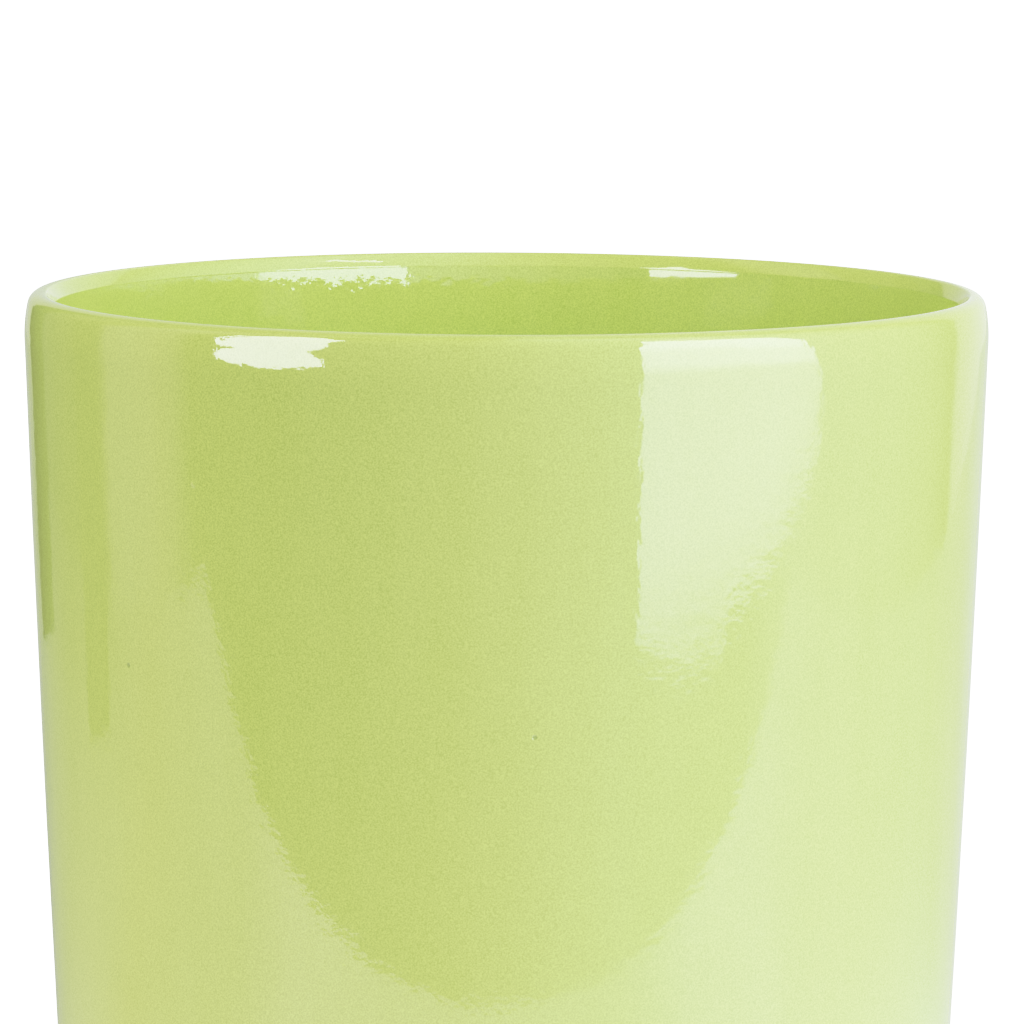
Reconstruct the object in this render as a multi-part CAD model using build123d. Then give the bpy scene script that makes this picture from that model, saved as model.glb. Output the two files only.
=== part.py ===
from build123d import *

import os
from math import asin, atan2, cos, hypot, radians, sin

# Glazed terracotta cover pot: a fired clay body, two coats of glaze and four stick-on felt feet.
#
# The pot is a plain tapered cylinder. Near the top the wall leans gently inward into a rounded lip.
# The inside is glazed first. The outside coat comes second, laps over the lip and ends just inside it.
# The outside coat stops a little above the foot, so the heel, foot ring and underside are bare clay.
# The clay has no drain hole: the glazed inside holds water, and a nursery pot stands in it.
#
# Millimetres, +Z up. The origin is the centre of the circle that the pot stands on.
# Sections are drawn as (radius, height) points and turned round the Z axis.

# Overall size
HEIGHT = 130.0
MAX_DIAMETER = 140.0  # at the shoulder, just below the lip
FOOT_DIAMETER = 130.0  # where the outside wall's line meets the foot plane

# Lip and wall
SHOULDER_RADIUS = 22.0  # slow inward curve below the lip
LIP_RADIUS = 1.9
LIP_LEAN = radians(12.0)  # how far the shoulder has leaned in where the lip starts
INNER_TAPER = radians(3.0)
GLAZE_THICKNESS = 0.4
LAP_LENGTH = 0.4  # how far the outside coat runs down the inside wall, below the lip's curve
GLAZE_LINE = 4.5  # bare clay between the foot plane and the outside coat

# Floor and foot
FLOOR_THICKNESS = 6.5
FLOOR_FILLET = 9.0
HEEL_FILLET = 2.4
RECESS_RADIUS = 51.0
RECESS_DEPTH = 1.8
RECESS_FILLET = 1.2

# Stick-on feet
PAD_COUNT = 4
PAD_DIAMETER = 9.0
PAD_THICKNESS = 1.4
PAD_EDGE = 0.2
FILM_DIAMETER = 8.6
FILM_THICKNESS = 0.2
PAD_CIRCLE_RADIUS = 56.5
PAD_START_ANGLE = 45.0


def shifted(point, direction, distance):
    return (point[0] + direction[0] * distance, point[1] + direction[1] * distance)


def polar(centre, radius, angle):
    """The section point at a radius and an angle round a centre."""
    return shifted(centre, (cos(angle), sin(angle)), radius)


# Heights, from the bottom up
FOOT_PLANE = PAD_THICKNESS + FILM_THICKNESS
UNDERSIDE = FOOT_PLANE + RECESS_DEPTH
FLOOR_TOP = UNDERSIDE + FLOOR_THICKNESS

# The shoulder's arc and the lip's arc touch where the wall has leaned in by LIP_LEAN
SHOULDER_DROP = LIP_RADIUS + (SHOULDER_RADIUS - LIP_RADIUS) * sin(LIP_LEAN)
SHOULDER_CENTRE = (MAX_DIAMETER / 2 - SHOULDER_RADIUS, HEIGHT - SHOULDER_DROP)
LIP_CENTRE = polar(SHOULDER_CENTRE, SHOULDER_RADIUS - LIP_RADIUS, LIP_LEAN)

# The outside wall is the line from the foot that touches the shoulder's arc
FOOT_POINT = (FOOT_DIAMETER / 2, FOOT_PLANE)
FOOT_TO_CENTRE = (SHOULDER_CENTRE[0] - FOOT_POINT[0], SHOULDER_CENTRE[1] - FOOT_POINT[1])
OUTER_TAPER = atan2(*FOOT_TO_CENTRE) + asin(SHOULDER_RADIUS / hypot(*FOOT_TO_CENTRE))
OUT_NORMAL = (cos(OUTER_TAPER), -sin(OUTER_TAPER))
OUT_DOWN = (-sin(OUTER_TAPER), -cos(OUTER_TAPER))
SHOULDER_START = shifted(SHOULDER_CENTRE, OUT_NORMAL, SHOULDER_RADIUS)

# The inside wall leaves the lip's arc at INNER_TAPER
IN_NORMAL = (-cos(INNER_TAPER), sin(INNER_TAPER))
IN_DOWN = (-sin(INNER_TAPER), -cos(INNER_TAPER))
LIP_END = shifted(LIP_CENTRE, IN_NORMAL, LIP_RADIUS)
LAP_END = shifted(LIP_END, IN_DOWN, LAP_LENGTH)

# The floor's fillet touches the inside wall and the floor
FILLET_CENTRE_Z = FLOOR_TOP + FLOOR_FILLET
FILLET_DROP = (LIP_END[1] + FLOOR_FILLET * sin(INNER_TAPER) - FILLET_CENTRE_Z) / cos(INNER_TAPER)
FILLET_START = shifted(LIP_END, IN_DOWN, FILLET_DROP)
FILLET_CENTRE = shifted(FILLET_START, IN_NORMAL, FLOOR_FILLET)


def at(point):
    """A section point as a point in the XZ plane."""
    return Vector(point[0], 0.0, point[1])


def line(start, end):
    return Edge.make_line(at(start), at(end))


def arc(centre, radius, start_angle, end_angle):
    """An arc of the section round a centre, by its two angles."""
    angles = (start_angle, (start_angle + end_angle) / 2, end_angle)
    return Edge.make_three_point_arc(*(at(polar(centre, radius, angle)) for angle in angles))


def outside_edges(inset, bottom_z):
    """The outside wall, shoulder and lip as far as the lap, set into the clay by inset."""
    wall_top = shifted(SHOULDER_START, OUT_NORMAL, -inset)
    wall_bottom = shifted(wall_top, OUT_DOWN, (wall_top[1] - bottom_z) / cos(OUTER_TAPER))
    lap = [shifted(point, IN_NORMAL, -inset) for point in (LIP_END, LAP_END)]
    return [
        line(wall_bottom, wall_top),
        arc(SHOULDER_CENTRE, SHOULDER_RADIUS - inset, -OUTER_TAPER, LIP_LEAN),
        arc(LIP_CENTRE, LIP_RADIUS - inset, LIP_LEAN, radians(180.0) - INNER_TAPER),
        line(*lap),
    ]


def inside_edges(inset):
    """The inside wall below the lap, the floor's fillet and the floor to its centre."""
    wall = [shifted(point, IN_NORMAL, -inset) for point in (LAP_END, FILLET_START)]
    floor_z = FLOOR_TOP - inset
    return [
        line(*wall),
        arc(FILLET_CENTRE, FLOOR_FILLET + inset, -INNER_TAPER, radians(-90.0)),
        line((FILLET_CENTRE[0], floor_z), (0.0, floor_z)),
    ]


def rounded(section, corner, radius):
    """The section with the corner nearest a point rounded off."""
    vertex = section.vertices().sort_by_distance(at(corner))[0]
    return section.fillet_2d(radius, [vertex])


def turned(section):
    """The solid of revolution of a section."""
    return revolve(section, Axis.Z)


def terracotta_body():
    """The fired clay: wall, floor, rounded heel and a foot ring round a shallow recess."""
    glazed = outside_edges(GLAZE_THICKNESS, FOOT_PLANE) + inside_edges(GLAZE_THICKNESS)
    heel = (glazed[0].start_point().X, FOOT_PLANE)
    recess_top = (RECESS_RADIUS, UNDERSIDE)
    bare = [
        line((0.0, FLOOR_TOP - GLAZE_THICKNESS), (0.0, UNDERSIDE)),
        line((0.0, UNDERSIDE), recess_top),
        line(recess_top, (RECESS_RADIUS, FOOT_PLANE)),
        line((RECESS_RADIUS, FOOT_PLANE), heel),
    ]
    section = Face(Wire(glazed + bare))
    section = rounded(section, heel, HEEL_FILLET)
    return turned(rounded(section, recess_top, RECESS_FILLET))


def coat(finished, on_clay):
    """A coat of glaze between its finished face and the clay, both drawn the same way round."""
    ends = [
        Edge.make_line(finished[0].start_point(), on_clay[0].start_point()),
        Edge.make_line(finished[-1].end_point(), on_clay[-1].end_point()),
    ]
    return turned(Face(Wire(finished + ends + on_clay)))


def outer_glaze():
    """The coat on the outside wall, over the lip and a little way down inside."""
    bottom = FOOT_PLANE + GLAZE_LINE
    return coat(outside_edges(0.0, bottom), outside_edges(GLAZE_THICKNESS, bottom))


def inner_glaze():
    """The coat on the inside wall and floor, up to where the outside coat ends."""
    return coat(inside_edges(0.0), inside_edges(GLAZE_THICKNESS))


def disc(diameter, thickness):
    """A disc that stands on its lower face."""
    return Cylinder(diameter / 2, thickness, align=(Align.CENTER, Align.CENTER, Align.MIN))


def foot_pad(place):
    """One die-cut felt disc on the standing plane, with its lower edge worn round."""
    felt = disc(PAD_DIAMETER, PAD_THICKNESS)
    lower_edge = felt.edges().filter_by(GeomType.CIRCLE).sort_by(Axis.Z)[0]
    return place * fillet(lower_edge, PAD_EDGE)


def adhesive_film(place):
    """The film of glue between a felt disc and the foot ring."""
    return place * Pos(0, 0, PAD_THICKNESS) * disc(FILM_DIAMETER, FILM_THICKNESS)


def main():
    os.makedirs("parts", exist_ok=True)
    places = list(PolarLocations(PAD_CIRCLE_RADIUS, PAD_COUNT, start_angle=PAD_START_ANGLE))
    nodes = {
        "terracotta_body": terracotta_body(),
        "outer_glaze": outer_glaze(),
        "inner_glaze": inner_glaze(),
        "pad_adhesive": Compound([adhesive_film(place) for place in places]),
    }
    for number, place in enumerate(places, start=1):
        nodes[f"foot_pad_{number}"] = foot_pad(place)
    for name, shape in nodes.items():
        export_step(shape, f"parts/{name}.step")


main()
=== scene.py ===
import math

import bpy
import numpy as np
from mathutils import Matrix, Vector

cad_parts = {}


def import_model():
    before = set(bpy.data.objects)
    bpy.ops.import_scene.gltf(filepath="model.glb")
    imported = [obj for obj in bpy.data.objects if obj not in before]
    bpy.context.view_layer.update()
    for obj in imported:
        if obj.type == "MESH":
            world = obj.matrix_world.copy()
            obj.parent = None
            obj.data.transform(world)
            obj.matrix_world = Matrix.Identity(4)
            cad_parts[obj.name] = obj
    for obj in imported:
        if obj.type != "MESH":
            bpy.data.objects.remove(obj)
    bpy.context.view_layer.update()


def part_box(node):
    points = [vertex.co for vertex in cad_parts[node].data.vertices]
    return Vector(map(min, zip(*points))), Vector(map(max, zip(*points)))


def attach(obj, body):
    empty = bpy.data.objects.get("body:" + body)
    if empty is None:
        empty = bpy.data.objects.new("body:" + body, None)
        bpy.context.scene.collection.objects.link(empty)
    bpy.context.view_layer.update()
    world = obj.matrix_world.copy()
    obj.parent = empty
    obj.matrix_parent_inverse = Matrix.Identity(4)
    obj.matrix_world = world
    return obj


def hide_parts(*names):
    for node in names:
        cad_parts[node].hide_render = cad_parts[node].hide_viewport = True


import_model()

# A glazed terracotta cover pot: raw clay body, two coats of lime-green glaze, felt feet and their glue.
# Lengths here are millimetres, turned into metres by mesh_object() or by the factor MM.
# Sections are (radius, height) points turned round Z. Azimuth 0 faces the camera, along -Y,
# and grows towards +X.
MM = 0.001
TAU = 2 * math.pi


def box_of(node):
    """A CAD node's lowest and highest corner, in millimetres."""
    return [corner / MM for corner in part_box(node)]


# ---------------------------------------------------------------- sizes of the pot's section
outer_low, outer_high = box_of("outer_glaze")
inner_low, inner_high = box_of("inner_glaze")
clay_low, clay_high = box_of("terracotta_body")
HEIGHT = outer_high.z
MAX_RADIUS = outer_high.x
GLAZE_LINE_Z = outer_low.z
LAP_END_Z = inner_high.z
FOOT_PLANE = clay_low.z
COAT = HEIGHT - clay_high.z  # thickness of a coat of glaze
FLOOR_TOP = inner_low.z + COAT

FOOT_RADIUS = 65.0  # where the outside wall's line meets the foot plane
SHOULDER_RADIUS = 22.0
LIP_RADIUS = 1.9
LIP_LEAN = math.radians(12.0)
INNER_TAPER = math.radians(3.0)
FLOOR_FILLET = 9.0
HEEL_FILLET = 2.4
RECESS_RADIUS = 51.0
RECESS_DEPTH = 1.8
RECESS_FILLET = 1.2
UNDERSIDE = FOOT_PLANE + RECESS_DEPTH


def shifted(point, heading, distance):
    """The point a distance away along a heading."""
    return np.array(point) + np.array(heading) * distance


def pointing(angle):
    """The unit vector at an angle in the section's plane."""
    return np.array((math.cos(angle), math.sin(angle)))


SHOULDER_DROP = LIP_RADIUS + (SHOULDER_RADIUS - LIP_RADIUS) * math.sin(LIP_LEAN)
SHOULDER_CENTRE = np.array((MAX_RADIUS - SHOULDER_RADIUS, HEIGHT - SHOULDER_DROP))
LIP_CENTRE = shifted(SHOULDER_CENTRE, pointing(LIP_LEAN), SHOULDER_RADIUS - LIP_RADIUS)
foot_to_centre = SHOULDER_CENTRE - (FOOT_RADIUS, FOOT_PLANE)
OUTER_TAPER = math.atan2(*foot_to_centre) + math.asin(SHOULDER_RADIUS / np.hypot(*foot_to_centre))
OUT_NORMAL = pointing(-OUTER_TAPER)
OUT_UP = pointing(math.radians(90) - OUTER_TAPER)
SHOULDER_START = shifted(SHOULDER_CENTRE, OUT_NORMAL, SHOULDER_RADIUS)
LIP_END_ANGLE = math.radians(180) - INNER_TAPER
IN_NORMAL = pointing(LIP_END_ANGLE)
IN_DOWN = pointing(math.radians(270) - INNER_TAPER)
LIP_END = shifted(LIP_CENTRE, IN_NORMAL, LIP_RADIUS)
LAP_LENGTH = (LIP_END[1] - LAP_END_Z) / math.cos(INNER_TAPER)
LAP_END = shifted(LIP_END, IN_DOWN, LAP_LENGTH)
FILLET_RUN = LIP_END[1] + FLOOR_FILLET * math.sin(INNER_TAPER) - FLOOR_TOP - FLOOR_FILLET
FILLET_START = shifted(LIP_END, IN_DOWN, FILLET_RUN / math.cos(INNER_TAPER))
FILLET_CENTRE = shifted(FILLET_START, IN_NORMAL, FLOOR_FILLET)

# Inside its crest the lip turns sharply into a slightly rounded bevel, which ends in a crisp inner edge
CREST_END, BEVEL_START = math.radians(105), math.radians(142)
CREST_RADIUS, BEVEL_RADIUS = 0.6, 11.0
CREST_CENTRE = shifted(LIP_CENTRE, pointing(CREST_END), LIP_RADIUS - CREST_RADIUS)
BEVEL_CENTRE = shifted(CREST_CENTRE, pointing(BEVEL_START), CREST_RADIUS - BEVEL_RADIUS)
BEVEL_END = LIP_END_ANGLE - math.acos((LIP_END - BEVEL_CENTRE) @ IN_NORMAL / BEVEL_RADIUS)
INNER_EDGE = shifted(BEVEL_CENTRE, pointing(BEVEL_END), BEVEL_RADIUS)


# ---------------------------------------------------------------- section paths
def run(start, end, spacing):
    """Evenly spaced points from start up to, but not including, end."""
    start, end = np.array(start, float), np.array(end, float)
    count = max(1, round(np.hypot(*(end - start)) / spacing))
    share = np.arange(count)[:, None] / count
    return start + (end - start) * share


def bend(centre, radius, start_angle, end_angle, spacing):
    """Evenly spaced points along an arc, without its end."""
    count = max(2, round(abs(end_angle - start_angle) * radius / spacing))
    angles = start_angle + (end_angle - start_angle) * np.arange(count) / count
    return np.array(centre) + radius * np.stack((np.cos(angles), np.sin(angles)), 1)


def wall_point(z, inset=0.0):
    """The outside wall's point at a height, set into the wall by inset."""
    top = shifted(SHOULDER_START, OUT_NORMAL, -inset)
    return shifted(top, OUT_UP, (z - top[1]) / OUT_UP[1])


def outside_path(bottom_z, inset, wall_spacing, shoulder_spacing, lip_spacing):
    """From the outside wall at bottom_z up over the lip to the end of the lap."""
    wall_top = shifted(SHOULDER_START, OUT_NORMAL, -inset)
    lip_radius = LIP_RADIUS - inset
    lap_start = shifted(LIP_END, IN_NORMAL, -inset)
    lap_end = shifted(LAP_END, IN_NORMAL, -inset)
    if inset:
        lip = [bend(LIP_CENTRE, lip_radius, LIP_LEAN, LIP_END_ANGLE, lip_spacing),
               run(lap_start, lap_end, lip_spacing)]
    else:
        lip = [bend(LIP_CENTRE, lip_radius, LIP_LEAN, CREST_END, lip_spacing),
               bend(CREST_CENTRE, CREST_RADIUS, CREST_END, BEVEL_START, lip_spacing / 2),
               bend(BEVEL_CENTRE, BEVEL_RADIUS, BEVEL_START, BEVEL_END, lip_spacing),
               run(INNER_EDGE, lap_end, lip_spacing / 2)]
    return np.concatenate((
        run(wall_point(bottom_z, inset), wall_top, wall_spacing),
        bend(SHOULDER_CENTRE, SHOULDER_RADIUS - inset, -OUTER_TAPER, LIP_LEAN, shoulder_spacing),
        *lip,
        [lap_end],
    ))


def inside_path(inset, top_spacing, wall_spacing, floor_spacing):
    """From the end of the lap down the inside wall and across the floor to the axis."""
    top_band = 5.0
    start, band_end, wall_end = (
        shifted(point, IN_NORMAL, -inset)
        for point in (LAP_END, shifted(LAP_END, IN_DOWN, top_band), FILLET_START)
    )
    floor_z = FLOOR_TOP - inset
    return np.concatenate((
        run(start, band_end, top_spacing),
        run(band_end, wall_end, wall_spacing),
        bend(FILLET_CENTRE, FLOOR_FILLET + inset, -INNER_TAPER, -math.pi / 2, 1.0),
        run((FILLET_CENTRE[0], floor_z), (0.0, floor_z), floor_spacing),
        [(0.0, floor_z)],
    ))


def lengths_along(path):
    """The distance of each point from the path's start."""
    steps = np.hypot(*np.diff(path, axis=0).T)
    return np.concatenate(([0.0], np.cumsum(steps)))


def normals_of(path):
    """Unit normals to the right of an open path's direction of travel."""
    ahead = np.roll(path, -1, axis=0) - np.roll(path, 1, axis=0)
    ahead[0] = path[1] - path[0]
    ahead[-1] = path[-1] - path[-2]
    ahead /= np.maximum(np.hypot(*ahead.T), 1e-9)[:, None]
    return np.stack((ahead[:, 1], -ahead[:, 0]), 1)


def smooth(value, start, end):
    """0 before start, 1 after end and a smooth step between."""
    share = np.clip((value - start) / (end - start), 0, 1)
    return share * share * (3 - 2 * share)


# ---------------------------------------------------------------- unevenness of a fired, dipped pot
def ripple(azimuth, along, seed, waves, turns, wavelength, amplitude):
    """A sum of random waves round the pot (whole turns) and along the section, in millimetres."""
    random = np.random.default_rng(seed)
    total = np.zeros(np.broadcast(azimuth, along).shape)
    for _ in range(waves):
        lobes = random.integers(turns[0], turns[1] + 1)
        length = random.uniform(*wavelength) * random.choice((-1, 1))
        phase = random.uniform(0, TAU)
        total += np.cos(lobes * azimuth + TAU * along / length + phase)
    return total * amplitude / math.sqrt(waves / 2)


def fired_out_of_round(rings):
    """Rings of (x, y, z) points as fired: a touch oval, the rim warped, the hollow off centre."""
    ovalness, oval_azimuth = 0.06, 0.0
    rim_warp, high_azimuth = 0.04, math.radians(35)
    off_centre = 0.12
    x, y, z = np.moveaxis(rings, -1, 0)
    azimuth, radius = np.arctan2(x, -y), np.hypot(x, y)
    squeeze = 1 - ovalness / MAX_RADIUS * (1 + np.cos(2 * (azimuth - oval_azimuth))) / 2
    drop = rim_warp * (1 - np.cos(2 * (azimuth - high_azimuth))) * smooth(z, 60, HEIGHT)
    outside = MAX_RADIUS - (SHOULDER_START[1] - np.minimum(z, SHOULDER_START[1])) * math.tan(OUTER_TAPER)
    in_hollow = smooth(outside - radius, 0.8, 3.4) * smooth(z, 20, 60)
    return np.stack((x * squeeze + off_centre * in_hollow, y * squeeze, z - drop), -1)


# ---------------------------------------------------------------- mesh makers
def azimuths(segments):
    """Evenly spaced azimuths once round the pot."""
    return np.arange(segments) * TAU / segments


def turned(radius, z, azimuth):
    """The (x, y, z) points of rings round the pot's axis, from their radius, height and azimuth."""
    return np.stack((radius * np.sin(azimuth), -radius * np.cos(azimuth), z + 0 * radius), -1)


def mesh_object(name, points, faces, material):
    """A smooth-shaded object from points in millimetres."""
    mesh = bpy.data.meshes.new(name)
    mesh.from_pydata((points * MM).tolist(), [], faces)
    mesh.update()
    mesh.polygons.foreach_set("use_smooth", [True] * len(mesh.polygons))
    piece = bpy.data.objects.new(name, mesh)
    piece.data.materials.append(material)
    bpy.context.scene.collection.objects.link(piece)
    return piece


CREASE = math.radians(50)  # edges that turn more than this stay crisp


def lathe(name, rings, material, closed):
    """A closed mesh from rings of points. Closed rings join up; open ones end on the axis."""
    rows, segments = rings.shape[:2]
    index = np.arange(rows * segments).reshape(rows, segments)
    beside = np.roll(index, -1, axis=1)
    if closed:
        above, beside_above = np.roll(index, -1, axis=0), np.roll(beside, -1, axis=0)
        quads = np.stack((index, beside, beside_above, above), -1).reshape(-1, 4)
        points, faces = rings.reshape(-1, 3), quads.tolist()
    else:
        quads = np.stack((index[1:-2], beside[1:-2], beside[2:-1], index[2:-1]), -1)
        faces = quads.reshape(-1, 4).tolist()
        first, last = rows * segments, rows * segments + 1
        faces += [(first, b, a) for a, b in zip(index[1], beside[1])]
        faces += [(last, a, b) for a, b in zip(index[-2], beside[-2])]
        points = np.concatenate((rings.reshape(-1, 3), rings[0, :1], rings[-1, :1]))
        used = np.r_[segments:(rows - 1) * segments, first, last]
        place = np.full(len(points), -1)
        place[used] = np.arange(len(used))
        faces = [tuple(place[i] for i in face) for face in np.array(faces, dtype=object)]
        points = points[used]
    piece = mesh_object(name, points, faces, material)
    if signed_volume(piece.data) < 0:
        piece.data.flip_normals()
    piece.data.set_sharp_from_angle(angle=CREASE)
    return piece


def signed_volume(mesh):
    """Six times the mesh's volume, below zero when its faces point inward."""
    mesh.calc_loop_triangles()
    corners = np.empty(len(mesh.loop_triangles) * 3, np.int32)
    mesh.loop_triangles.foreach_get("vertices", corners)
    points = np.empty(len(mesh.vertices) * 3, np.float32)
    mesh.vertices.foreach_get("co", points)
    a, b, c = np.moveaxis(points.reshape(-1, 3)[corners.reshape(-1, 3)], 1, 0)
    return float(np.einsum("ij,ij->i", a, np.cross(b, c)).sum())


def finished(piece, node):
    """Puts a piece on the pot's body in place of its CAD node."""
    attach(piece, "root")
    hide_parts(node)
    return piece


# ---------------------------------------------------------------- material nodes
class Nodes:
    """A short way to write a node tree: each call adds a node and returns its first output."""

    def __init__(self, tree):
        self.tree = tree
        tree.nodes.clear()

    def add(self, kind, inputs=None, output=0, **settings):
        node = self.tree.nodes.new("ShaderNode" + kind)
        for key, value in settings.items():
            setattr(node, key, value)
        for key, value in (inputs or {}).items():
            if isinstance(value, bpy.types.NodeSocket):
                self.tree.links.new(value, node.inputs[key])
            else:
                node.inputs[key].default_value = value
        return node.outputs[output]

    def math(self, operation, a, b=0.0):
        return self.add("Math", {0: a, 1: b}, operation=operation)

    def noise(self, where, size, detail=2.0, roughness=0.5):
        """Noise from 0 to 1 whose features are about size millimetres across."""
        scale = 1 / (size * MM)
        inputs = {"Vector": where, "Scale": scale, "Detail": detail, "Roughness": roughness}
        return self.add("TexNoise", inputs)

    def remap(self, value, low, high, to_low=0.0, to_high=1.0, smoothly=False):
        inputs = {"Value": value, "From Min": low, "From Max": high, "To Min": to_low, "To Max": to_high}
        kind = "SMOOTHSTEP" if smoothly else "LINEAR"
        return self.add("MapRange", inputs, interpolation_type=kind)

    def mix(self, share, a, b):
        return self.add("Mix", {0: share, 6: a, 7: b}, output=2, data_type="RGBA")

    def stretched(self, where, x, y, z):
        return self.add("Mapping", {"Vector": where, "Scale": (x, y, z)})

    def bump(self, height, depth, normal=None):
        """A bump whose full height is depth millimetres."""
        inputs = {"Height": height, "Distance": depth * MM, "Strength": 1.0}
        if normal is not None:
            inputs["Normal"] = normal
        return self.add("Bump", inputs)

    def out(self, shader, kind="OutputMaterial"):
        self.tree.links.new(shader, self.tree.nodes.new("ShaderNode" + kind).inputs[0])


def new_material(name):
    material = bpy.data.materials.new(name)
    material.use_nodes = True
    return material, Nodes(material.node_tree)


def rgb(red, green, blue):
    return (red, green, blue, 1.0)


def from_axis(n, x, y):
    """A place's distance from the pot's axis, in metres."""
    return n.math("SQRT", n.math("ADD", n.math("MULTIPLY", x, x), n.math("MULTIPLY", y, y)))


BLISTERS = ((-36.1, 108.1), (51.4, 109.3))  # azimuth and height of two small raised spots
BLISTER_RADIUS, BLISTER_HEIGHT = 0.55, 0.06


def glaze_colour(n, where, cloud, in_pit):
    """Lime green, finely grained and faintly mottled, and dark in its pinholes."""
    grain = n.remap(n.noise(where, 0.21, detail=1.0), 0.3, 0.7)
    fall = n.remap(n.noise(n.stretched(where, 1.0, 1.0, 0.08), 5.0), 0.3, 0.7)
    thickness = n.math("MULTIPLY", n.math("ADD", cloud, fall), 0.5)
    dark = n.mix(thickness, rgb(0.450, 0.540, 0.124), rgb(0.470, 0.562, 0.140))
    light = n.mix(thickness, rgb(0.598, 0.715, 0.190), rgb(0.622, 0.741, 0.206))
    return n.mix(n.math("MULTIPLY", in_pit, 0.55), n.mix(grain, dark, light), rgb(0.22, 0.26, 0.06))


def glaze_relief(n, where, in_pit):
    """A soft swell and a fine peel, calmer on the inside at the right, with pinholes and blisters."""
    x, y, _ = n.add("SeparateXYZ", {0: where}).node.outputs
    inside = n.remap(from_axis(n, x, y), 66.0 * MM, 66.8 * MM, 1.0, 0.0)
    at_right = n.remap(x, -12.0 * MM, 16.0 * MM)
    unrest = n.math("SUBTRACT", 1.0, n.math("MULTIPLY", n.math("MULTIPLY", inside, at_right), 0.8))
    peel = n.math("MULTIPLY", n.noise(where, 0.9, detail=1.5, roughness=0.55), unrest)
    swell = n.math("MULTIPLY", n.noise(where, 3.5, detail=1.0), unrest)
    normal = n.bump(swell, 0.022)
    normal = n.bump(peel, 0.012, normal)
    normal = n.bump(in_pit, -0.06, normal)
    for azimuth, z in BLISTERS:
        place = turned(wall_point(z)[0], z, math.radians(azimuth)) * MM
        away = n.add("VectorMath", {0: where, 1: tuple(place)}, output=1, operation="DISTANCE")
        dome = n.remap(away, 0.0, BLISTER_RADIUS * MM, 1.0, 0.0, smoothly=True)
        normal = n.bump(dome, BLISTER_HEIGHT, normal)
    return normal


def glaze_material():
    """Opaque lime-green earthenware glaze: glossy, faintly mottled, with a fine orange peel."""
    material, n = new_material("lime_glaze")
    where = n.add("TexCoord", output=3)
    cloud = n.remap(n.noise(where, 14.0, detail=3.0), 0.3, 0.7)
    speck = n.add("TexVoronoi", {"Vector": where, "Scale": 1 / (17.0 * MM), "Randomness": 1.0})
    in_pit = n.remap(speck, 0.012, 0.026, 1.0, 0.0, smoothly=True)
    shader = n.add("BsdfPrincipled", {
        "Base Color": glaze_colour(n, where, cloud, in_pit),
        "Roughness": n.remap(cloud, 0.0, 1.0, 0.025, 0.045),
        "IOR": 1.5,
        "Normal": glaze_relief(n, where, in_pit),
    })
    n.out(shader)
    return material


def clay_material():
    """Bare fired terracotta: matte, sandy and blotchy, with pale salts in places."""
    material, n = new_material("bare_clay")
    where = n.add("TexCoord", output=3)
    blotch = n.remap(n.noise(where, 9.0, detail=4.0), 0.35, 0.65)
    grain = n.remap(n.noise(where, 0.35, detail=3.0, roughness=0.65), 0.3, 0.7)
    bloom = n.remap(n.noise(where, 16.0, detail=5.0, roughness=0.6), 0.52, 0.72)
    colour = n.mix(blotch, rgb(0.52, 0.205, 0.105), rgb(0.63, 0.285, 0.165))
    colour = n.mix(n.math("MULTIPLY", grain, 0.35), colour, rgb(0.68, 0.36, 0.23))
    colour = n.mix(n.math("MULTIPLY", bloom, 0.35), colour, rgb(0.72, 0.50, 0.38))
    grit = n.add("TexVoronoi", {"Vector": where, "Scale": 1 / (1.6 * MM), "Randomness": 1.0})
    grog = n.remap(grit, 0.10, 0.16, 1.0, 0.0, smoothly=True)
    colour = n.mix(n.math("MULTIPLY", grog, 0.6), colour, rgb(0.34, 0.14, 0.09))
    normal = n.bump(n.noise(where, 0.3, detail=3.0, roughness=0.7), 0.05)
    normal = n.bump(n.noise(where, 1.8, detail=2.0), 0.06, normal)
    normal = n.bump(grog, -0.05, normal)
    shader = n.add("BsdfPrincipled", {
        "Base Color": colour,
        "Roughness": n.remap(blotch, 0.0, 1.0, 0.78, 0.92),
        "IOR": 1.45,
        "Normal": normal,
    })
    n.out(shader)
    return material


def felt_material():
    """Pressed grey-brown felt with matted fibres."""
    material, n = new_material("grey_brown_felt")
    where = n.add("TexCoord", output=3)
    strands = n.noise(n.stretched(where, 1.0, 1.0, 2.5), 0.35, detail=4.0, roughness=0.7)
    fibres = n.remap(strands, 0.3, 0.7)
    clumps = n.remap(n.noise(where, 1.5, detail=2.0), 0.35, 0.65)
    colour = n.mix(fibres, rgb(0.30, 0.275, 0.235), rgb(0.47, 0.435, 0.38))
    colour = n.mix(n.math("MULTIPLY", clumps, 0.4), colour, rgb(0.38, 0.34, 0.29))
    normal = n.bump(fibres, 0.12)
    shader = n.add("BsdfPrincipled", {
        "Base Color": colour,
        "Roughness": n.remap(clumps, 0.0, 1.0, 0.88, 0.98),
        "Sheen Weight": 0.4,
        "Sheen Roughness": 0.5,
        "Normal": normal,
    })
    n.out(shader)
    return material


def adhesive_material():
    """Off-white pressure-sensitive glue with dust at its edge."""
    material, n = new_material("pad_glue")
    where = n.add("TexCoord", output=3)
    dust = n.remap(n.noise(where, 0.8, detail=3.0), 0.4, 0.65)
    normal = n.bump(n.noise(where, 0.5, detail=2.0), 0.02)
    shader = n.add("BsdfPrincipled", {
        "Base Color": n.mix(dust, rgb(0.80, 0.79, 0.74), rgb(0.66, 0.63, 0.56)),
        "Roughness": n.remap(dust, 0.0, 1.0, 0.35, 0.55),
        "Normal": normal,
    })
    n.out(shader)
    return material


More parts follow.
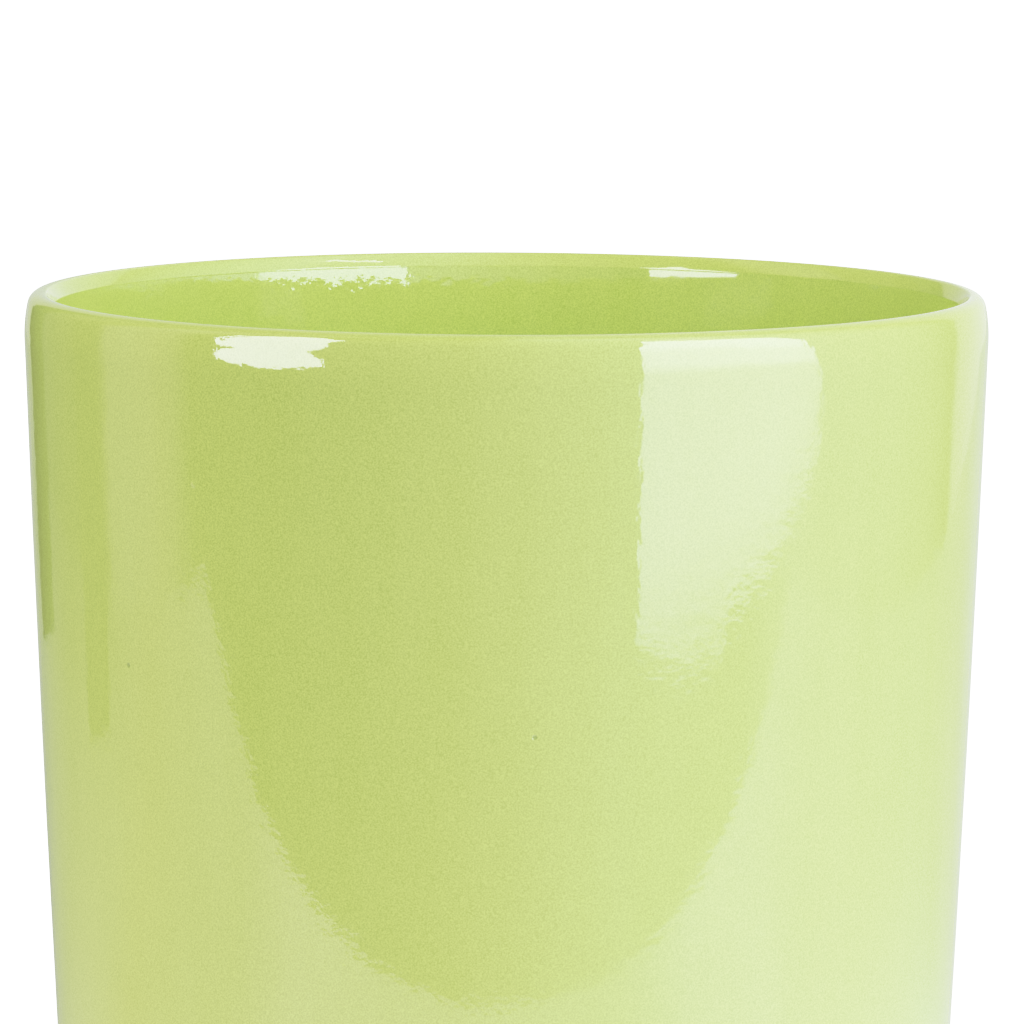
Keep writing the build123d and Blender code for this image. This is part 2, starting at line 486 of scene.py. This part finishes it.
# ---------------------------------------------------------------- the coats of glaze
GLAZE_SEGMENTS = 640
HIDDEN_GAP = 0.02  # between a coat's back and the clay, so that the two never cross
FACE_INSET = 0.02  # keeps the waves of a coat's face inside its CAD solid
BEAD = 0.22  # height of the outside coat's rolled lower edge
BELLY = 0.2  # how far the outside wall swells at its middle


def lip_ridges(drop, azimuth):
    """Fine rings round the lip, by the distance below its crest along the section."""
    rings = 0.0
    for number, (spacing, height) in enumerate(((1.9, 0.0022), (1.15, 0.0012), (0.62, 0.0004))):
        drift = 0.35 * spacing * np.cos((2 + number) * azimuth + 1.7 * number)
        rings = rings + height * np.cos(TAU * (drop + drift) / spacing)
    return rings * smooth(drop, 0.6, 1.6) * (1 - smooth(drop, 5.0, 7.5))


def glaze_edge(azimuth):
    """How far the uneven lower edge of the outside coat lies above its lowest point."""
    wander = ripple(azimuth, 0.0, 11, 9, (2, 9), (1, 2), 0.28)
    nibbles = ripple(azimuth, 0.0, 12, 14, (12, 60), (1, 2), 0.07)
    edge = wander + nibbles
    return edge - edge.min()


def outer_relief(front, azimuth):
    """How far the outside coat's face stands off its section: waves, belly, lip rings, thick foot."""
    above = lengths_along(front)[:, None]
    drop = above[np.argmax(front[:, 1])] - above
    relief = ripple(azimuth, above, 21, 14, (1, 9), (26, 70), 0.006)
    relief = relief + ripple(azimuth, above, 22, 16, (8, 34), (12, 40), 0.002)
    relief = relief * smooth(above, 0, 12) * smooth(drop, -0.5, 4)
    belly = BELLY * np.sin(np.pi * np.clip((front[:, 1:] - 20) / 102, 0, 1)) * (front[:, :1] > 60)
    relief = relief + belly * smooth(drop, 4, 8) + lip_ridges(drop, azimuth) - FACE_INSET
    return relief + 0.16 * np.exp(-((above - 1.2) / 1.6) ** 2)


def outer_coat(material):
    """The coat on the outside wall and lip, with a rolled and uneven lower edge."""
    azimuth = azimuths(GLAZE_SEGMENTS)[None, :]
    front = outside_path(GLAZE_LINE_Z + BEAD, 0.0, 1.9, 0.32, 0.16)
    back = outside_path(GLAZE_LINE_Z + BEAD, COAT - HIDDEN_GAP, 9.0, 1.2, 0.8)[::-1]
    bead_centre = (front[0] + back[-1]) / 2
    half = (COAT - HIDDEN_GAP) / 2
    rolled = bend(bead_centre, half, math.pi - OUTER_TAPER, TAU - OUTER_TAPER, 0.1)[1:]
    relief = outer_relief(front, azimuth)
    normal = normals_of(front)
    front_r = front[:, :1] + normal[:, :1] * relief
    front_z = front[:, 1:] + normal[:, 1:] * relief
    rest = np.concatenate((back, rolled))
    flat = np.zeros_like(azimuth)
    radius = np.concatenate((front_r, rest[:, :1] + flat))
    z = np.concatenate((front_z, rest[:, 1:] + flat))
    lift = glaze_edge(azimuth) * (1 - smooth(z, GLAZE_LINE_Z, GLAZE_LINE_Z + 9))
    radius = radius + lift * math.tan(OUTER_TAPER)
    rings = fired_out_of_round(turned(radius, z + lift, azimuth))
    piece = lathe("outer_glaze_coat", rings, material, closed=True)
    return finished(piece, "outer_glaze")


HEAVY_SLUMP_AZIMUTH, LIGHT_SLUMP_AZIMUTH = math.radians(-155), math.radians(153)


def slump(below, azimuth):
    """A roll of glaze below the lip: broad and frayed at the left back, short at the right back."""
    heavy = smooth(np.cos(azimuth - HEAVY_SLUMP_AZIMUTH), 0.6, 0.95)
    light = np.exp((np.cos(azimuth - LIGHT_SLUMP_AZIMUTH) - 1) / 0.0054)
    height = 0.004 * (1 - light) + 0.049 * heavy + 0.020 * light
    length = 0.6 + 1.1 * heavy + 0.3 * light
    relief = height * (1 - np.exp(-below / length)) - FACE_INSET
    sags = ripple(azimuth, below, 33, 30, (60, 190), (1.3, 4.0), 0.0030)
    return relief + sags * heavy * smooth(below, 0.3, 1.0) * (1 - smooth(below, 3.0, 4.8))


def inner_coat(material):
    """The coat on the inside wall and floor, slightly thicker where it has slumped or pooled."""
    azimuth = azimuths(GLAZE_SEGMENTS)[None, :]
    front = inside_path(0.0, 0.2, 2.4, 2.4)
    back = inside_path(COAT - HIDDEN_GAP, 2.0, 9.0, 6.0)[::-1]
    below = lengths_along(front)[:, None]
    relief = slump(below, azimuth)
    uneven = ripple(azimuth, below, 31, 16, (6, 36), (9, 30), 0.002)
    uneven = uneven + ripple(azimuth, below, 32, 12, (1, 8), (25, 80), 0.008)
    relief = relief + uneven * smooth(below, 1.0, 12.0) * smooth(front[:, :1], 4, 30)
    pool = 0.2 * np.exp(-((front[:, :1] - FILLET_CENTRE[0] - 2) / 6) ** 2) * (front[:, 1:] < 16)
    relief = relief + pool
    normal = normals_of(front)
    front_r = np.maximum(front[:, :1] + normal[:, :1] * relief, 0)
    front_z = front[:, 1:] + normal[:, 1:] * relief
    flat = np.zeros_like(azimuth)
    radius = np.concatenate((back[:, :1] + flat, front_r))
    z = np.concatenate((back[:, 1:] + flat, front_z))
    radius[0], radius[-1], z[-1] = 0, 0, z[-1].mean()
    rings = fired_out_of_round(turned(radius, z, azimuth))
    piece = lathe("inner_glaze_coat", rings, material, closed=False)
    return finished(piece, "inner_glaze")


# ---------------------------------------------------------------- the clay body
CLAY_SEGMENTS = 380
CLAY_TOP_Z = GLAZE_LINE_Z + 2.6  # the clay is finely modelled up to here, under the coat's lower edge
RING_PITCH, RING_DEPTH = 1.9, 0.045  # turning marks in the recess


def bare_foot_path():
    """From the clay under the coat's lower edge round the heel, foot ring and recess to the axis."""
    top = wall_point(CLAY_TOP_Z, COAT)
    corner = wall_point(FOOT_PLANE, COAT)
    half_turn = (math.pi / 2 + OUTER_TAPER) / 2
    setback = HEEL_FILLET / math.tan(half_turn)
    heel_start = shifted(corner, OUT_UP, setback)
    heel_centre = shifted(heel_start, OUT_NORMAL, -HEEL_FILLET)
    ring_edge = (RECESS_RADIUS, FOOT_PLANE)
    recess_centre = (RECESS_RADIUS - RECESS_FILLET, UNDERSIDE - RECESS_FILLET)
    return np.concatenate((
        run(top, heel_start, 0.35),
        bend(heel_centre, HEEL_FILLET, -OUTER_TAPER, -math.pi / 2, 0.25),
        run((heel_centre[0], FOOT_PLANE), ring_edge, 0.45),
        run(ring_edge, (RECESS_RADIUS, recess_centre[1]), 0.2),
        bend(recess_centre, RECESS_FILLET, 0.0, math.pi / 2, 0.25),
        run((recess_centre[0], UNDERSIDE), (0.0, UNDERSIDE), 0.4),
        [(0.0, UNDERSIDE)],
    ))


def turning_marks(bare, azimuth):
    """Shallow rings that the forming tool leaves on the heel and the underside."""
    radius, z = bare[:, :1], bare[:, 1:]
    spiral = radius + RING_PITCH * azimuth / TAU
    in_recess = smooth(-radius, -(RECESS_RADIUS - 2), -(RECESS_RADIUS - 5)) * smooth(radius, 2, 6)
    recess = RING_DEPTH * np.cos(TAU * spiral / RING_PITCH) * in_recess * (z > FOOT_PLANE + 0.5)
    heel = 0.018 * np.cos(TAU * z / 0.8) * (radius > 60) * smooth(z, FOOT_PLANE, FOOT_PLANE + 1)
    chatter = ripple(azimuth, radius + z, 41, 18, (20, 90), (2, 9), 0.012)
    return recess + heel + chatter * smooth(radius, 3, 10)


def worn_ring(bare, azimuth):
    """Small chips and rounding along the foot ring's inner edge."""
    radius, z = bare[:, :1], bare[:, 1:]
    inner_edge = np.exp(-((radius - RECESS_RADIUS) / 0.5) ** 2 - ((z - FOOT_PLANE) / 0.5) ** 2)
    chips = np.clip(ripple(azimuth, 0.0, 42, 20, (15, 110), (1, 2), 0.09) - 0.02, 0, None)
    return -inner_edge * (0.12 + chips)


def clay_body(material):
    """The fired clay. Only its heel, foot ring and underside are bare."""
    azimuth = azimuths(CLAY_SEGMENTS)[None, :]
    bare = bare_foot_path()
    relief = turning_marks(bare, azimuth) + worn_ring(bare, azimuth)
    relief = np.minimum(relief, 0.0) + 0 * azimuth
    fade = smooth(lengths_along(bare)[:, None], 0.2, 1.5)
    normal = -normals_of(bare)
    normal *= np.sign((normal[0] * OUT_NORMAL).sum())
    bare_r = bare[:, :1] + normal[:, :1] * relief * fade
    bare_z = bare[:, 1:] + normal[:, 1:] * relief * fade
    inside = inside_path(COAT, 2.5, 9.0, 6.0)[::-1]
    outside = outside_path(CLAY_TOP_Z, COAT, 9.0, 1.2, 0.5)[::-1]
    hidden = np.concatenate((inside, outside[1:-1]))
    flat = np.zeros_like(azimuth)
    radius = np.concatenate((hidden[:, :1] + flat, bare_r))
    z = np.concatenate((hidden[:, 1:] + flat, bare_z))
    radius[-1], z[-1] = 0, z[-1].mean()
    rings = fired_out_of_round(turned(np.maximum(radius, 0), z, azimuth))
    piece = lathe("clay_body", rings, material, closed=False)
    return finished(piece, "terracotta_body")


# ---------------------------------------------------------------- felt feet and their glue
def felt_foot(node, number, material):
    """A die-cut felt disc: slightly crushed edges, a rough surface and loose fibres round its side."""
    low, high = box_of(node)
    centre = (low + high) / 2
    radius, height = (high.x - low.x) / 2, high.z - low.z
    azimuth = azimuths(144)[None, :]
    edge = 0.16
    profile = np.concatenate((
        run((0, height), (radius - edge, height), 0.22),
        bend((radius - edge, height - edge), edge, math.pi / 2, 0, 0.06),
        run((radius, height - edge), (radius, edge), 0.11),
        bend((radius - edge, edge), edge, 0, -math.pi / 2, 0.06),
        run((radius - edge, 0), (0, 0), 0.22),
        [(0, 0)],
    ))
    fuzz = ripple(azimuth, lengths_along(profile)[:, None], 50 + number, 40, (4, 70), (0.4, 3.0), 0.035)
    fuzz = np.minimum(fuzz - 0.05, 0.0)
    side = smooth(profile[:, :1], radius * 0.3, radius * 0.9)
    out = profile[:, :1] + fuzz * side
    squeezed = 0.10 * np.cos(azimuth + number) * smooth(profile[:, :1], 1, radius)
    z = np.clip(profile[:, 1:] + fuzz * 0.5 * np.sign(profile[:, 1:] - height / 2), 0, height)
    rings = turned(np.maximum(out - np.abs(squeezed), 0), z, azimuth)
    rings[0], rings[-1] = rings[0].mean(axis=0), rings[-1].mean(axis=0)
    piece = lathe(f"felt_foot_{number}", rings + np.array((centre.x, centre.y, low.z)), material, False)
    add_fibres(piece, centre, radius, low.z, high.z, number)
    return finished(piece, node)


FIBRE_COUNT, FIBRE_RADIUS = 260, 0.022


def fibre_points(random, centre, radius, bottom, top):
    """Three rings of three points along one fibre, which starts just inside the felt's side."""
    azimuth = random.uniform(0, TAU)
    height = random.uniform(bottom + 0.12, top - 0.12)
    start = np.array((math.sin(azimuth), -math.cos(azimuth), 0.0)) * (radius - 0.28)
    start += (centre.x, centre.y, height)
    heading = azimuth + random.uniform(-1.3, 1.3)
    step = np.array((math.sin(heading), -math.cos(heading), random.uniform(-0.4, 0.4)))
    curl = np.array((-step[1], step[0], 0)) * random.uniform(-0.5, 0.5)
    length = random.uniform(0.15, 0.42)
    for share in (0.0, 0.5, 1.0):
        middle = start + step * length * share + curl * length * share * share
        thick = FIBRE_RADIUS * (1 - 0.6 * share)
        for turn in (0, TAU / 3, 2 * TAU / 3):
            offset = np.array((-step[1] * math.cos(turn), step[0] * math.cos(turn), math.sin(turn)))
            point = middle + offset * thick
            point[2] = min(max(point[2], bottom), top)
            yield point


def add_fibres(piece, centre, radius, bottom, top, number):
    """Short loose fibres round the side of a felt foot, as thin three-sided tapering tubes."""
    random = np.random.default_rng(70 + number)
    points, faces = [], []
    for _ in range(FIBRE_COUNT):
        base = len(points)
        points += fibre_points(random, centre, radius, bottom, top)
        for ring in (0, 3):
            for corner in range(3):
                a, b = base + ring + corner, base + ring + (corner + 1) % 3
                faces.append((a, b, b + 3, a + 3))
        faces += [(base + 2, base + 1, base), (base + 6, base + 7, base + 8)]
    fibres = mesh_object("fibres", np.array(points), faces, piece.data.materials[0])
    with bpy.context.temp_override(active_object=piece, selected_editable_objects=[piece, fibres]):
        bpy.ops.object.join()


def glue_films(material):
    """Four thin discs of glue between the felt and the foot ring, in one piece."""
    low, high = box_of("pad_adhesive")
    pads = [box_of(f"foot_pad_{number}") for number in range(1, 5)]
    centres = [(pad_low + pad_high) / 2 for pad_low, pad_high in pads]
    radius = min(min(high.x - centre.x, high.y - centre.y) for centre in centres)
    azimuth = azimuths(96)[None, :]
    section = np.array(((0, 1), (0.7, 1), (0.985, 1), (1, 0.5), (0.985, 0), (0.7, 0), (0, 0)))
    pieces = []
    for number, centre in enumerate(centres):
        edge = radius - 0.12 + ripple(azimuth, 0.0, 90 + number, 10, (2, 20), (1, 2), 0.05)
        edge = np.minimum(edge, radius)
        out = section[:, :1] * edge
        z = low.z + (high.z - low.z) * section[:, 1:] + 0 * edge
        rings = turned(out, z, azimuth) + np.array((centre.x, centre.y, 0.0))
        pieces.append(lathe(f"glue_film_{number}", rings, material, closed=False))
    whole = pieces[0]
    with bpy.context.temp_override(active_object=whole, selected_editable_objects=pieces):
        bpy.ops.object.join()
    whole.name = "adhesive_films"
    return finished(whole, "pad_adhesive")


# ---------------------------------------------------------------- studio
def direction(azimuth, elevation):
    """The unit vector to an azimuth and elevation in degrees."""
    a, e = math.radians(azimuth), math.radians(elevation)
    return np.array((math.sin(a) * math.cos(e), -math.cos(a) * math.cos(e), math.sin(e)))


def stage_card(name, corners, material, seen_by="glossy"):
    """A flat card that only mirrors see, or a floor that all but mirrors see."""
    card = mesh_object(name, np.array(corners, float), [tuple(range(len(corners)))], material)
    mirrored = seen_by == "glossy"
    card.visible_glossy = mirrored
    card.visible_camera = card.visible_diffuse = card.visible_shadow = not mirrored
    card.visible_transmission = card.visible_volume_scatter = False
    return card


def glow(name, radiance, tint=(1, 1, 1)):
    """A material that only gives off light. radiance is a number, or a function giving tint and level."""
    material, n = new_material(name)
    tint, strength = radiance(n) if callable(radiance) else (rgb(*tint), radiance)
    n.out(n.add("Emission", {"Color": tint, "Strength": strength}))
    material.cycles.emission_sampling = "NONE"
    return material


def ramp(n, value, stops):
    """A colour ramp from (position, level) stops, whose output is the level as a grey."""
    top = max(level for _, level in stops)
    output = n.add("ValToRGB", {"Fac": value})
    elements = output.node.color_ramp.elements
    for position, level in stops[1:-1]:
        elements.new(position).color = rgb(*(level / top,) * 3)
    for element, (position, level) in zip((elements[0], elements[-1]), (stops[0], stops[-1])):
        element.position = position
        element.color = rgb(*(level / top,) * 3)
    return n.math("MULTIPLY", output, top)


# The white table that the glaze mirrors: its front edge and its two side edges
TABLE_FRONT, TABLE_LEFT, TABLE_RIGHT, TABLE_BACK = -187.0, -510.0, 505.0, 4000.0
COOL = (0.77, 1.0, 0.96)


def azimuth_ramp(n, x, y, stops):
    """A level that changes with the azimuth of a direction or place, from (degrees, level) stops."""
    return ramp(n, azimuth_share(n, x, y), [((degrees + 180) / 360, level) for degrees, level in stops])


def azimuth_share(n, x, y):
    """0 to 1 once round from the back, by the left, the front and the right."""
    azimuth = n.math("ARCTAN2", x, n.math("MULTIPLY", y, -1.0))
    return n.remap(azimuth, -math.pi, math.pi)


def studio_tint(n, x, y):
    """The studio's light is a little warm at the left and cool, like daylight, at the right."""
    output = n.add("ValToRGB", {"Fac": azimuth_share(n, x, y)})
    elements = output.node.color_ramp.elements
    stops = ((-180, (0.93, 1, 0.95)), (-100, (1, 1, 1)), (-88, (1, 0.9, 0.84)), (-70, (1, 1, 1)),
             (-10, (0.97, 1, 1)), (32, COOL), (112, COOL), (140, (0.93, 1, 0.95)))
    for degrees, tint in stops[1:-1]:
        elements.new((degrees + 180) / 360).color = rgb(*tint)
    elements[0].color, elements[-1].color = rgb(*stops[0][1]), rgb(*stops[-1][1])
    elements[-1].position = (stops[-1][0] + 180) / 360
    return output


def table_radiance(n):
    """The mirrored table is brightest at the right front and dimmer far left, with a painted shadow round
    the foot.
    """
    x, y, _ = n.add("SeparateXYZ", {0: n.add("TexCoord", output=3)}).node.outputs
    stops = ((-180, 0.8), (-150, 0.46), (-122, 0.58), (-105, 0.95), (-88, 1.3), (-58, 1.9), (-42, 3.3),
             (-10, 3.1), (25, 4.2), (40, 6.2), (56, 6.2), (72, 4.8), (93, 3.3), (121, 1.5), (140, 1.05),
             (180, 0.9))
    level = azimuth_ramp(n, x, y, stops)
    # painted shadow: the mirrored table's glow fades close round the pot's foot
    painted_foot_shadow = n.remap(from_axis(n, x, y), 62.0 * MM, 105.0 * MM, 0.45, 1.0, smoothly=True)
    level = n.math("MULTIPLY", level, painted_foot_shadow)
    far_left = n.remap(x, -460.0 * MM, -240.0 * MM, 1.0, 0.0, smoothly=True)
    behind = n.remap(y, 0.0, 120.0 * MM, smoothly=True)
    behind = n.math("MULTIPLY", behind, n.remap(y, 500.0 * MM, 800.0 * MM, 1.0, 0.0))
    dimmed = n.math("SUBTRACT", 1.0, n.math("MULTIPLY", n.math("MULTIPLY", far_left, behind), 0.4))
    return studio_tint(n, x, y), n.math("MULTIPLY", level, dimmed)


def mirrored_studio():
    """Cards that give the glaze what it mirrors. Nothing but mirrors sees them."""
    front = [(x, TABLE_FRONT, 0.0) for x in (TABLE_LEFT, TABLE_RIGHT)]
    back = [(x, TABLE_BACK, 0.0) for x in (TABLE_RIGHT, TABLE_LEFT)]
    stage_card("mirrored_table", front + back, glow("table_glow", table_radiance))
    softbox_panel()
    left_light()
    dark_stand("stand_behind", (-270, 423), (-361, 359), 400.0, 0.08)
    dark_stand("stand_left", (-339, 137), (-366, 77), 400.0, 0.17)


# The light panel at the right front: the foot of its near edge, and the foot of its far edge
PANEL_NEAR, PANEL_FAR = np.array((200.0, -346.0)), np.array((622.0, -146.0))


def softbox_radiance(n):
    """The panel brightens upward from its soft lower edge, and dims a little towards its far edge."""
    x, _, z = n.add("SeparateXYZ", {0: n.add("TexCoord", output=3)}).node.outputs
    levels = ((0, 4.6), (8, 6.4), (20, 8.4), (32, 9.4), (105, 9.4), (122, 10.4), (145, 13.6), (205, 14.2),
              (225, 17.0), (450, 17.0))
    top = levels[-1][0]
    share = n.math("MULTIPLY", z, 1 / (top * MM))
    level = ramp(n, share, [(height / top, value) for height, value in levels])
    far = n.remap(x, PANEL_NEAR[0] * MM, PANEL_FAR[0] * MM)
    dimming = ramp(n, far, ((0, 1.05), (0.6, 1.0), (1, 0.80)))
    return rgb(0.78, 1.0, 0.93), n.math("MULTIPLY", level, dimming)


def softbox_panel():
    """A tall light panel at the right front, with a slanting far edge and an uneven lower edge."""
    outline = ((2, 12), (70, 4), (110, 2), (155, 1), (166, 8), (265, 8), (380, 11), (464, 12), (464, 31),
               (451, 45), (412, 191), (390, 245), (372, 300), (372, 560), (62, 560), (20, 300), (3, 215))
    along = (PANEL_FAR - PANEL_NEAR) / np.hypot(*(PANEL_FAR - PANEL_NEAR))
    corners = [(*shifted(PANEL_NEAR, along, distance), z) for distance, z in outline]
    stage_card("softbox", corners, glow("softbox_glow", softbox_radiance))


def seen_card(name, eye, distance, outline, radiance, tint):
    """A card facing a point, its corners given as (azimuth, elevation) seen from that point."""
    rays = [direction(*point) for point in outline]
    middle = np.mean(rays, axis=0)
    middle /= np.linalg.norm(middle)
    corners = [np.array(eye) + ray / (ray @ middle) * distance for ray in rays]
    stage_card(name, corners, glow(name + "_glow", radiance, tint))


def left_light():
    """A light at the left front with two lobes and a few notches, and a wide lamp high at the right."""
    top = ((-69.2, 44), (-68, 57), (-64, 57.5), (-58, 56.5), (-44, 49), (-39.8, 44), (-38.6, 26))
    right_lobes = ((-38.5, 16.2), (-38.7, 14), (-39.7, 12.1), (-43, 10.2), (-41.5, 9.1), (-39.8, 7.6),
                   (-38.2, 7), (-37.9, 3), (-38.3, 0.9))
    foot = ((-40.5, -0.1), (-47, -0.9), (-54, -1.3), (-60, -1.3), (-64.8, -0.7), (-67.4, 0.6))
    left_lobe = ((-68.8, 3), (-68.7, 5.6), (-67.8, 7), (-63.4, 8.3), (-63.5, 9.2), (-67.4, 8.9),
                 (-69.7, 10.1), (-70.8, 13))
    left_horn = ((-73.2, 44), (-71.4, 48), (-68.7, 14), (-68, 13.2), (-67.3, 13.3))
    outline = top + right_lobes + foot + left_lobe + left_horn
    front_left_lip = (-45.0, -52.0, 128.0)
    seen_card("left_light", front_left_lip, 450.0, outline, 15.5, (0.88, 1.0, 0.98))
    lamp = ((48, 54.5), (48, 57), (72, 57), (72, 54.5))
    seen_card("high_lamp", (0.0, 0.0, 128.0), 3000.0, lamp, 14.0, (0.9, 1.0, 1.0))


def dark_stand(name, start, end, height, radiance):
    """A dark upright thing that stands on the table beside or behind the pot."""
    corners = [(*start, 0.0), (*end, 0.0), (*end, height), (*start, height)]
    stage_card(name, corners, glow(name + "_glow", radiance))


EVEN_LEVEL = 0.66  # of the light that matt surfaces get from all round
CAMERA_WHITE = 3.0  # bright enough for the backdrop to come out white


def room_radiance(n):
    """What mirrors see round the room at each azimuth: dark at the left, bright at the right."""
    x, y, _ = n.add("SeparateXYZ", {0: n.add("TexCoord")}).node.outputs
    stops = ((-180, 0.9), (-153, 0.65), (-152, 0.1), (-143, 0.1), (-141, 0.26), (-122, 0.26),
             (-110, 0.22), (-107, 0.9), (-91, 1.45), (-84, 1.1), (-77, 0.12), (-63, 0.2), (-47, 0.5),
             (-14, 1.1), (3, 1.8), (29, 3.1), (60, 3.3), (75, 4.5), (97, 3.2), (122, 1.36),
             (134, 0.6), (136, 1.45), (180, 1.3))
    return studio_tint(n, x, y), azimuth_ramp(n, x, y, stops)


def even_light(n):
    """The light that matt surfaces get from all round: a little warm at the left, cool at the right."""
    x = n.add("SeparateXYZ", {0: n.add("TexCoord")})
    return n.mix(n.remap(x, -1.0, 1.0), rgb(1.02, 1.0, 0.97), rgb(0.93, 1.0, 0.99)), EVEN_LEVEL


def world():
    """White to the camera, an even light to matt surfaces, and a room to mirrors."""
    scene_world = bpy.data.worlds.new("studio_world")
    bpy.context.scene.world = scene_world
    scene_world.use_nodes = True
    n = Nodes(scene_world.node_tree)
    white, even, room = (
        n.add("Background", {"Color": tint, "Strength": level})
        for tint, level in ((rgb(1, 1, 1), CAMERA_WHITE), even_light(n), room_radiance(n))
    )
    rays = n.add("LightPath").node.outputs
    shade = n.add("MixShader", {0: rays["Is Glossy Ray"], 1: even, 2: room})
    shade = n.add("MixShader", {0: rays["Is Camera Ray"], 1: shade, 2: white})
    n.out(shade, "OutputWorld")


def floor_material():
    """A plain white floor to the camera, with a painted soft shadow close round the pot.

    The pot's matt surfaces see a table there instead: pale, and dark beyond its front and side edges. Its
    glow lights them from below and fades close round the foot as painted shade.
    """
    material, n = new_material("pale_floor")
    x, y, _ = n.add("SeparateXYZ", {0: n.add("TexCoord", output=3)}).node.outputs
    # painted shadow: the floor's glow fades close round the pot, both to the camera and as light for the
    # pot
    shade = n.remap(from_axis(n, x, y), 58.0 * MM, 86.0 * MM, 0.15, 1.0, smoothly=True)
    in_width = n.math("LESS_THAN", n.math("ABSOLUTE", x), TABLE_RIGHT * MM)
    on_table = n.math("MULTIPLY", in_width, n.math("GREATER_THAN", y, TABLE_FRONT * MM))
    pale = n.math("MULTIPLY", shade, n.remap(x, -200.0 * MM, 200.0 * MM, 0.74, 0.48))
    table = n.add("Emission", {"Strength": n.math("ADD", n.math("MULTIPLY", on_table, pale), 0.1)})
    white = n.add("Emission", {"Strength": n.math("MULTIPLY", shade, 2.4)})
    matt = n.add("BsdfDiffuse", {"Color": rgb(0.80, 0.80, 0.79)})
    seen = n.add("AddShader", {0: matt, 1: white})
    n.out(n.add("MixShader", {0: n.add("LightPath"), 1: table, 2: seen}))
    material.cycles.emission_sampling = "NONE"
    return material


def floor():
    """A floor that reaches well beyond every view."""
    half = 12000.0
    corners = [(x * half, y * half, 0.0) for x, y in ((-1, -1), (1, -1), (1, 1), (-1, 1))]
    stage_card("floor", corners, floor_material(), seen_by="camera")


def area_light(name, azimuth, elevation, distance, size, watts, tint):
    """A soft light that mirrors don't see."""
    data = bpy.data.lights.new(name, "AREA")
    data.shape, data.size, data.energy, data.color = "DISK", size * MM, watts, tint
    light = bpy.data.objects.new(name, data)
    light.location = direction(azimuth, elevation) * distance * MM
    light.rotation_mode = "QUATERNION"
    light.rotation_quaternion = light.location.to_track_quat("Z", "Y")
    light.visible_glossy = light.visible_camera = False
    bpy.context.scene.collection.objects.link(light)


def lights():
    """Soft lights all round: strongest at the right front, where the photo's panel stands."""
    cool, warm = (0.91, 1.0, 0.99), (1.02, 1.0, 0.97)
    area_light("key_right", 72, 4, 900, 650, 7.4, cool)
    area_light("front_right", 23, 38, 1400, 800, 7.6, cool)
    area_light("front_left", -38, 36, 1400, 800, 3.1, warm)
    area_light("side_left", -75, 5, 900, 500, 1.7, warm)
    area_light("rim_left", -112, 15, 1500, 800, 3.4, warm)
    area_light("back_left", -165, 20, 1400, 900, 5.0, warm)
    area_light("back_right", 140, 20, 1400, 900, 6.0, cool)


def camera():
    """Eye level a little above the lip, close in front, with the pot's foot cut off by the frame."""
    eye = Vector((24.1, -800.0, 201.0)) * MM
    yaw, pitch, roll = -0.029, 0.1287, 0.004
    forward = Vector((math.sin(yaw) * math.cos(pitch), math.cos(yaw) * math.cos(pitch), -math.sin(pitch)))
    level = forward.cross(Vector((0, 0, 1))).normalized()
    upright = level.cross(forward)
    right = level * math.cos(roll) + upright * math.sin(roll)
    up = upright * math.cos(roll) - level * math.sin(roll)
    data = bpy.data.cameras.new("camera")
    data.lens, data.sensor_width = 194.1, 36.0
    data.clip_start, data.clip_end = 0.01, 100.0
    view = bpy.data.objects.new("camera", data)
    view.matrix_world = Matrix.Translation(eye) @ Matrix((right, up, -forward)).transposed().to_4x4()
    bpy.context.scene.collection.objects.link(view)
    bpy.context.scene.camera = view


def film():
    """A plain sRGB picture whose highlights roll off softly instead of clipping."""
    settings = bpy.context.scene.view_settings
    settings.view_transform = "Standard"
    settings.use_curve_mapping = True
    mapping = settings.curve_mapping
    mapping.clip_max_x, mapping.clip_max_y = 4.0, 1.1
    curve = mapping.curves[3]
    shoulder = ((0.0, 0.0), (0.12, 0.12), (0.25, 0.25), (0.40, 0.40), (0.55, 0.55), (0.75, 0.68),
                (1.0, 0.80), (1.6, 0.93), (2.5, 1.0))
    while len(curve.points) < len(shoulder):
        curve.points.new(*shoulder[len(curve.points)])
    for point, place in zip(curve.points, shoulder):
        point.location = place
    mapping.update()


# ---------------------------------------------------------------- everything together
def build():
    """The eight pieces of the pot and the studio round it."""
    glaze, felt = glaze_material(), felt_material()
    outer_coat(glaze)
    inner_coat(glaze)
    clay_body(clay_material())
    for number in range(1, 5):
        felt_foot(f"foot_pad_{number}", number, felt)
    glue_films(adhesive_material())
    world()
    mirrored_studio()
    floor()
    lights()
    camera()
    film()


build()
